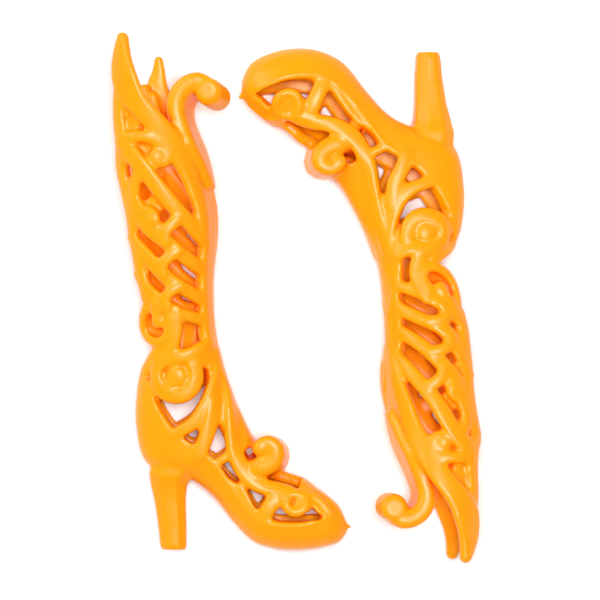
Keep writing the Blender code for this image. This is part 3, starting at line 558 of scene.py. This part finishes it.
# %% Floors, bosses and lines
# Floors and bosses: centre, radius and top over the skin, and for a boss how far it is domed.
FLOORS = [((3.8, 25.4), 3.0, -1.0), ((0.8, 33.2), 2.3, -1.05), ((21.2, 7.1), 1.8, -0.5),
          ((0.4, 58.2), 2.3, -0.7), ((0.2, 50.0), 1.6, -0.8)]
BOSSES = [((3.8, 25.4), 1.5, -0.1, 0.45), ((0.95, 33.3), 0.95, -0.2, 0.4),
          ((0.45, 48.1), 1.1, -0.2, 0.5), ((1.3, 57.2), 1.5, -0.3, 0.6)]
LINES = [    # runs, and how far each stands out of the skin
    ([(6.2, 15.0, 0.8), (8.2, 13.6, 0.9), (9.9, 11.6, 0.9), (11.5, 9.3, 0.9), (13.2, 6.8, 0.9),
      (14.8, 4.9, 0.9), (16.6, 3.85, 0.9), (18.8, 3.5, 0.8), (21.5, 3.6, 0.7),
      (24.5, 4.3, 0.6)], 0.18),
    ([(-0.9, 14.4, 0.5), (0.6, 13.4, 0.6), (2.6, 12.5, 0.6), (5.4, 11.5, 0.5)], 0.1),
    ([(22.5, 8.5, 0.8), (24.2, 7.8, 0.9), (25.4, 6.6, 0.9), (26.4, 5.2, 0.7)], 0.4),
    ([(22.8, 9.2, 0.6), (25.0, 8.2, 0.7), (26.8, 6.4, 0.7), (28.0, 4.6, 0.5)], 0.2),
    ([(15.2, 1.35, 0.35), (18.0, 0.62, 0.35), (21.5, 0.42, 0.35), (24.8, 0.85, 0.35),
      (27.2, 1.75, 0.35)], 0.1),
]


# %% [markdown]
# ## One boot
#
# All the parts of a boot are joined, melted into one skin by a voxel remesh and relaxed.  That
# fills the creases with the soft fillets of a moulding, which bevels on thirty crossing
# strands would not.  The boot is then laid down: it rests on three points of its far side, so
# its height is sheared by a small slope, and it is moved to its place.  Slope and place are
# worked out from the frame's heel, whose flat-sided rings are the same on both.

# %% Build, melt and lay down
TURNS = {"left_boot": 1, "right_boot": -1}    # the right boot lies end for end
FRAME_HEEL_TIP = [(1.6, 0.0), (4.9, 0.0)]    # back and front edge of the frame's heel tip
RING_SLACK = 0.01      # how far the corners of one ring of the frame's heel may be out of line
VOXEL = 0.275
RELAX_FACTOR, RELAX_TURNS = 0.5, 3
# Each wall's first and last section and its number of rings.
SHOE_SPAN, CAP_SPAN = (6.5, 18.0, 90), (14.4, 18.0, 36)
SHIN_SPAN, STRAP_SPAN = (1.9, 9.9, 70), (14.2, 15.1, 10)
SHIN_EDGE = ((1.9, 2.5, 3.2, 6.0, 8.0, 9.9), (0.98, 0.93, 0.84, 0.74, 0.62, 0.62))
STRAP_EDGE, STRAP_PROUD = 0.3, 0.05
CURLS = [    # run of a ribbon, height of its near edge, and centre and radius of its roll
    (KNEE_CURL, 4.6, (8.3, 66.8), 2.0),
    (INSTEP_CURL, 3.7, (15.9, 15.0), 1.25),
]
ROLL_PROUD = 0.1
# How the knee's and the instep's ribbon hang: far edge at the root and at the end, and lean.
LEFT_DRAPE = [((-2.6, -0.6), (0.31, -0.18)), ((-3.3, -3.3), (0.13, -0.06))]
RIGHT_DRAPE = [((-3.0, 0.6), (0.29, -0.04)), ((-3.3, -3.3), (0.19, 0.07))]


def draw(points, warp):
    """Points of the left boot's side view, carried to the other boot where there is a warp."""
    points = np.array(points, float)
    if warp:
        points[:, :2] = warp(points[:, :2])
    return points


def build_boot(last, warp, drape):
    """Every part of one boot, in its own side view."""
    def drawn(points):
        return draw(points, warp)

    parts = []
    for span, rim, pole in ((SHOE_SPAN, RIM, SOLE_POLE), (CAP_SPAN, CAP_RIM, FRONT_POLE)):
        stations = np.linspace(*span)
        parts.append(wall(last, stations, edge_along(last, drawn(rim), stations), pole))
    stations = np.linspace(*SHIN_SPAN)
    parts.append(wall(last, stations, np.interp(stations, *SHIN_EDGE), FRONT_POLE))
    stations = np.linspace(*STRAP_SPAN)
    strap_edge = np.full(len(stations), STRAP_EDGE)
    parts.append(wall(last, stations, strap_edge, FRONT_POLE, STRAP_PROUD))

    rings = []
    for rise, back, front, half in HEEL:
        ends = drawn([(back, rise), (front, rise)])
        rings.append((ends[:, 1].mean(), ends[0, 0], ends[1, 0], half))
    parts.append(heel(rings, float(last.between(last.lean, np.array([HEEL_SECTION]))[0, 0])))
    parts.append(nub((*drawn([NUB[:2]])[0], NUB[2])))

    for (run, high, centre, radius), (low, lean) in zip(CURLS, drape):
        parts.append(ribbon(smooth_run(drawn(run)), high, low, lean))
        parts.append(roll(drawn([centre])[0], radius, high + ROLL_PROUD, low[1], lean))

    for side in (NEAR, FAR):
        for label, run in {**VINES, **(FAR_VINES if side == FAR else {})}.items():
            run = drawn(run)
            if label == "spike" and side == FAR and not warp:
                run = np.vstack([LEFT_FAR_SPIKE, run[SPIKE_TIP:]])
            parts.append(strand(last, smooth_run(run), side, PROUD.get(label, FLUSH)))
        for run, lift in LINES:
            parts.append(strand(last, smooth_run(drawn(run)), side, lift, LINE_THICK))
        for centre, radius, top in FLOORS:
            parts.append(disc(last, drawn([centre])[0], radius, side, top))
        for centre, radius, top, crown in BOSSES:
            parts.append(disc(last, drawn([centre])[0], radius, side, top, crown=crown))
    return parts


def melt(name, parts):
    """Join the parts into one object and remesh them into one seamless moulding."""
    bpy.ops.object.select_all(action="DESELECT")
    for part in parts:
        part.select_set(True)
    bpy.context.view_layer.objects.active = parts[0]
    bpy.ops.object.join()
    boot = bpy.context.object
    boot.name = boot.data.name = name
    boot.modifiers.new("melt", "REMESH")
    boot.modifiers["melt"].mode = "VOXEL"
    boot.modifiers["melt"].voxel_size = VOXEL * MM
    boot.modifiers.new("relax", "SMOOTH")
    boot.modifiers["relax"].factor = RELAX_FACTOR
    boot.modifiers["relax"].iterations = RELAX_TURNS
    for modifier in ("melt", "relax"):
        bpy.ops.object.modifier_apply(modifier=modifier)
    bpy.ops.object.shade_smooth()
    return boot


def lie_of(name, warp):
    """Place of a boot's origin, and height and slopes of its middle plane, on the table.

    Every whole ring of the frame's heel has four corners on the near side and four opposite
    them on the far side.  Their midpoints lie in the middle plane.
    """
    points = np.array([vert.co for vert in frame["nodes"][name + "_heel"].data.vertices]) / MM
    points = np.unique(points.round(4), axis=0)
    rings = [points[np.abs(points[:, 1] - level) < RING_SLACK]
             for level in np.unique(points[:, 1].round(2))]
    rings = [ring for ring in rings if len(ring) == HEEL_CORNERS]
    middles = []
    for ring in rings:
        far, near = np.split(ring[np.argsort(ring[:, 2])], 2)
        middles.append((far[np.argsort(far[:, 0])] + near[np.argsort(near[:, 0])]) / 2)
    flat = np.vstack(middles)
    plane = np.linalg.lstsq(np.column_stack([np.ones(len(flat)), flat[:, :2]]), flat[:, 2],
                            rcond=None)[0]
    tip = min(rings, key=lambda ring: TURNS[name] * ring[0, 1]).mean(axis=0)[:2]
    place = tip - TURNS[name] * draw(FRAME_HEEL_TIP, warp).mean(axis=0)
    return place, plane


def lay_down(boot, turn, place, plane):
    """Move the boot to its place and shear it onto its three resting points."""
    co = np.empty(len(boot.data.vertices) * 3)
    boot.data.vertices.foreach_get("co", co)
    x, z, h = co.reshape(-1, 3).T
    laid_x, laid_y = place[0] * MM + turn * x, place[1] * MM + turn * z
    height = h + plane[0] * MM + plane[1] * laid_x + plane[2] * laid_y
    height -= min(height.min(), 0.0)        # never below the table
    boot.data.vertices.foreach_set("co", np.column_stack([laid_x, laid_y, height]).ravel())
    boot.data.update()


boots = []
for name, last, warp, drape in (("left_boot", left_last, None, LEFT_DRAPE),
                                ("right_boot", right_last, to_right, RIGHT_DRAPE)):
    boot = melt(name + "_moulding", build_boot(last, warp, drape))
    place, plane = lie_of(name, warp)
    lay_down(boot, TURNS[name], place, plane)
    print(boot.name, "lies at", place.round(4), "on a plane of", plane.round(6))
    boots.append(boot)
    triangles = sum(len(face.vertices) - 2 for face in boot.data.polygons)
    print(boot.name, "has", triangles, "triangles")

# %% [markdown]
# ## Soft glossy PVC
#
# The plastic is one orange all through, but not flat: colour flows in faint streaks from the
# gate, the skin has the fine orange peel of a warm mould, and handling leaves duller patches.
# Each effect is a node group with a place in any plastic.  Soft vinyl glows a warm red in its
# shaded hollows: a little subsurface light gives part of that, and the rest is painted shade,
# a group that turns the colour deeper where the lattice hides the light.

# %% Node groups
WHITE = (1, 1, 1, 1)


def new_group(name, inputs, outputs):
    """A shader node group with named sockets."""
    group = bpy.data.node_groups.new(name, "ShaderNodeTree")
    for label, kind, value in inputs:
        socket = group.interface.new_socket(name=label, in_out="INPUT", socket_type=kind)
        socket.default_value = value
    for label, kind in outputs:
        group.interface.new_socket(name=label, in_out="OUTPUT", socket_type=kind)
    return group, group.nodes.new("NodeGroupInput"), group.nodes.new("NodeGroupOutput")


def own_place(tree):
    """Position in the piece's own space, so that a pattern moves with it."""
    return tree.nodes.new("ShaderNodeTexCoord").outputs["Object"]


def noise(tree, vector, scale, detail, rough=0.5):
    """A noise texture with a vector of its own."""
    node = tree.nodes.new("ShaderNodeTexNoise")
    node.inputs["Scale"].default_value = scale
    node.inputs["Detail"].default_value = detail
    node.inputs["Roughness"].default_value = rough
    tree.links.new(vector, node.inputs["Vector"])
    return node.outputs["Fac"]


def ramp(tree, value, low, high):
    """0 where value is at low and 1 where it is at high."""
    node = tree.nodes.new("ShaderNodeMapRange")
    node.inputs["From Min"].default_value = low
    node.inputs["From Max"].default_value = high
    tree.links.new(value, node.inputs["Value"])
    return node.outputs["Result"]


def mixed(tree, kind, factor, first, second):
    """First where factor is 0 and second where it is 1."""
    node = tree.nodes.new("ShaderNodeMix")
    node.data_type = kind
    for label, source in (("Factor", factor), ("A", first), ("B", second)):
        tree.links.new(source, node.inputs[label])
    return node.outputs["Result"]


# Streaks of a second colour that flow along the piece.
flow, flow_in, flow_out = new_group("Flow streaks", [
    ("Colour", "NodeSocketColor", WHITE), ("Streak Colour", "NodeSocketColor", WHITE),
    ("Strength", "NodeSocketFloat", 0.3)], [("Colour", "NodeSocketColor")])
stretch = flow.nodes.new("ShaderNodeMapping")
stretch.inputs["Scale"].default_value = (150, 40, 90)
flow.links.new(own_place(flow), stretch.inputs["Vector"])
streaks = ramp(flow, noise(flow, stretch.outputs["Vector"], 1.0, 4.0, 0.6), 0.35, 0.7)
weigh = flow.nodes.new("ShaderNodeMath")
weigh.operation = "MULTIPLY"
flow.links.new(streaks, weigh.inputs[0])
flow.links.new(flow_in.outputs["Strength"], weigh.inputs[1])
streaked = mixed(flow, "RGBA", weigh.outputs[0], flow_in.outputs["Colour"],
                 flow_in.outputs["Streak Colour"])
flow.links.new(streaked, flow_out.inputs["Colour"])

# Painted shade: the colour sinks to a deeper one where ambient occlusion finds the openwork hiding
# the light.
shade_group, shade_group_in, shade_group_out = new_group("Painted shade", [
    ("Colour", "NodeSocketColor", WHITE), ("Hidden", "NodeSocketColor", WHITE)],
    [("Colour", "NodeSocketColor")])
occlusion = shade_group.nodes.new("ShaderNodeAmbientOcclusion")
occlusion.inputs["Distance"].default_value = 0.0025
openness = ramp(shade_group, occlusion.outputs["AO"], 0.35, 0.85)
painted_shade = mixed(shade_group, "RGBA", openness, shade_group_in.outputs["Hidden"], shade_group_in.outputs["Colour"])
shade_group.links.new(painted_shade, shade_group_out.inputs["Colour"])

# Height of the mould's orange peel, with a finer grain on it.
peel, peel_in, peel_out = new_group("Mould skin", [("Grain", "NodeSocketFloat", 1.0)],
                                    [("Height", "NodeSocketFloat")])
scaled = peel.nodes.new("ShaderNodeVectorMath")
scaled.operation = "SCALE"
peel.links.new(own_place(peel), scaled.inputs[0])
peel.links.new(peel_in.outputs["Grain"], scaled.inputs["Scale"])
waves = noise(peel, scaled.outputs["Vector"], 700.0, 2.0)
grain = noise(peel, scaled.outputs["Vector"], 4200.0, 2.0)
blend = peel.nodes.new("ShaderNodeMath")
blend.operation = "MULTIPLY_ADD"
blend.inputs[1].default_value = 0.16
peel.links.new(grain, blend.inputs[0])
peel.links.new(waves, blend.inputs[2])
peel.links.new(blend.outputs[0], peel_out.inputs["Height"])

# Roughness that rises in the patches where fingers have dulled the gloss.
worn, worn_in, worn_out = new_group("Handled gloss", [
    ("Gloss", "NodeSocketFloat", 0.25), ("Dulled", "NodeSocketFloat", 0.4)],
    [("Roughness", "NodeSocketFloat")])
patches = ramp(worn, noise(worn, own_place(worn), 260.0, 5.0, 0.65), 0.42, 0.66)
dulled = mixed(worn, "FLOAT", patches, worn_in.outputs["Gloss"], worn_in.outputs["Dulled"])
worn.links.new(dulled, worn_out.inputs["Roughness"])
print("node groups:", [group.name for group in bpy.data.node_groups])


# %% The plastic
def soft_pvc(name, colour, streak, hidden, strength, gloss, dulled):
    """Soft PVC in one colour with streaks of another, and painted shade in a third where light is
    hidden.
    """
    material = bpy.data.materials.new(name)
    material.use_nodes = True
    tree = material.node_tree
    shader = tree.nodes["Principled BSDF"]

    def place_group(group, **values):
        """A use of the group, with the values on its sockets; _ stands for a space."""
        node = tree.nodes.new("ShaderNodeGroup")
        node.node_tree = group
        for label, value in values.items():
            node.inputs[label.replace("_", " ")].default_value = value
        return node

    streaked = place_group(flow, Colour=colour, Streak_Colour=streak, Strength=strength)
    # Painted shade: this group turns the colour to the third, red one where ambient occlusion
    # finds the light hidden.
    painted_shade = place_group(shade_group, Hidden=hidden)
    handled = place_group(worn, Gloss=gloss, Dulled=dulled)
    skin = place_group(peel, Grain=1.0)
    tree.links.new(streaked.outputs["Colour"], painted_shade.inputs["Colour"])
    tree.links.new(painted_shade.outputs["Colour"], shader.inputs["Base Color"])
    tree.links.new(handled.outputs["Roughness"], shader.inputs["Roughness"])
    bump = tree.nodes.new("ShaderNodeBump")
    bump.inputs["Strength"].default_value = 0.12
    bump.inputs["Distance"].default_value = 0.0002
    tree.links.new(skin.outputs["Height"], bump.inputs["Height"])
    tree.links.new(bump.outputs["Normal"], shader.inputs["Normal"])
    shader.inputs["IOR"].default_value = 1.45
    shader.inputs["Specular IOR Level"].default_value = 0.25
    shader.inputs["Coat Weight"].default_value = 0.12
    shader.inputs["Coat Roughness"].default_value = 0.25
    shader.inputs["Subsurface Weight"].default_value = 0.25
    shader.inputs["Subsurface Radius"].default_value = (1.0, 0.35, 0.05)
    shader.inputs["Subsurface Scale"].default_value = 0.0012
    return material


# The red is painted shade, laid into the colour where the lattice hides the light.
ORANGE, PALE_ORANGE, SHADE_RED = (1.0, 0.31, 0.0, 1), (1.0, 0.35, 0.0, 1), (0.85, 0.07, 0.0, 1)
orange_pvc = soft_pvc("orange_pvc", ORANGE, PALE_ORANGE, SHADE_RED,
                      strength=0.5, gloss=0.33, dulled=0.42)
for boot, body in zip(boots, ("left_boot", "right_boot")):
    boot.data.materials.clear()
    boot.data.materials.append(orange_pvc)
    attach(boot, body)
    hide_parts(*frame["record"]["behaviour"]["bodies"][body])

# %% [markdown]
# ## Floor, light and camera
#
# The pair lies on a plain white sheet under one wide soft light, so the gloss shows as broad
# pale patches on whatever faces up.  The camera looks straight down from far away, which
# keeps the side view of both boots nearly free of perspective.

# %% Floor
bpy.ops.object.select_all(action="DESELECT")
bpy.ops.mesh.primitive_plane_add(size=2.0)
floor = bpy.context.object
floor.name = "floor"
paper = bpy.data.materials.new("white_sheet")
paper.use_nodes = True
paper_shader = paper.node_tree.nodes["Principled BSDF"]
paper_shader.inputs["Base Color"].default_value = (0.95, 0.95, 0.95, 1)
paper_shader.inputs["Roughness"].default_value = 0.9
floor.data.materials.append(paper)
floor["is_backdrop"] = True

# %% Lights and world
world = bpy.data.worlds.new("studio")
bpy.context.scene.world = world
world.use_nodes = True
background = world.node_tree.nodes["Background"]
background.inputs["Color"].default_value = WHITE
background.inputs["Strength"].default_value = 0.25


def soft_light(name, place, size, power):
    """A square soft box that faces the middle of the pair."""
    light = bpy.data.lights.new(name, "AREA")
    light.shape, light.size, light.energy = "SQUARE", size, power
    lamp = bpy.data.objects.new(name, light)
    lamp.location = place
    lamp.rotation_euler = (-Vector(place)).to_track_quat("-Z", "Y").to_euler()
    bpy.context.scene.collection.objects.link(lamp)


soft_light("overhead_box", (0.04, 0.03, 0.95), 0.30, 9.0)
soft_light("side_box", (-0.55, 0.35, 0.50), 0.40, 2.5)

# %% Camera
CAMERA_HEIGHT = 0.70
NEAR_HEIGHT = 0.010
FRAME_WIDTH = 0.087        # width seen at the height of the near sides
AIM = (0.000446, -0.000340)        # point of the table under the camera
SENSOR = 36.0
camera_data = bpy.data.cameras.new("camera")
camera_data.sensor_width = SENSOR
camera_data.lens = SENSOR * (CAMERA_HEIGHT - NEAR_HEIGHT) / FRAME_WIDTH
camera = bpy.data.objects.new("camera", camera_data)
camera.location = (*AIM, CAMERA_HEIGHT)
bpy.context.scene.collection.objects.link(camera)
bpy.context.scene.camera = camera
bpy.context.scene.view_settings.view_transform = "Standard"

# %% [markdown]
#
# The visual mouldings are meant to fill the frame's own box.  Both boxes are printed, so that
# they can be compared.

# %% Boxes
bpy.context.view_layer.update()
visual_box = [list(corner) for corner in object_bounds()]
for label, (low, high) in (("frame", frame_box), ("visual", visual_box)):
    print(label, "box in mm:", [round((b - a) / MM, 2) for a, b in zip(low, high)])
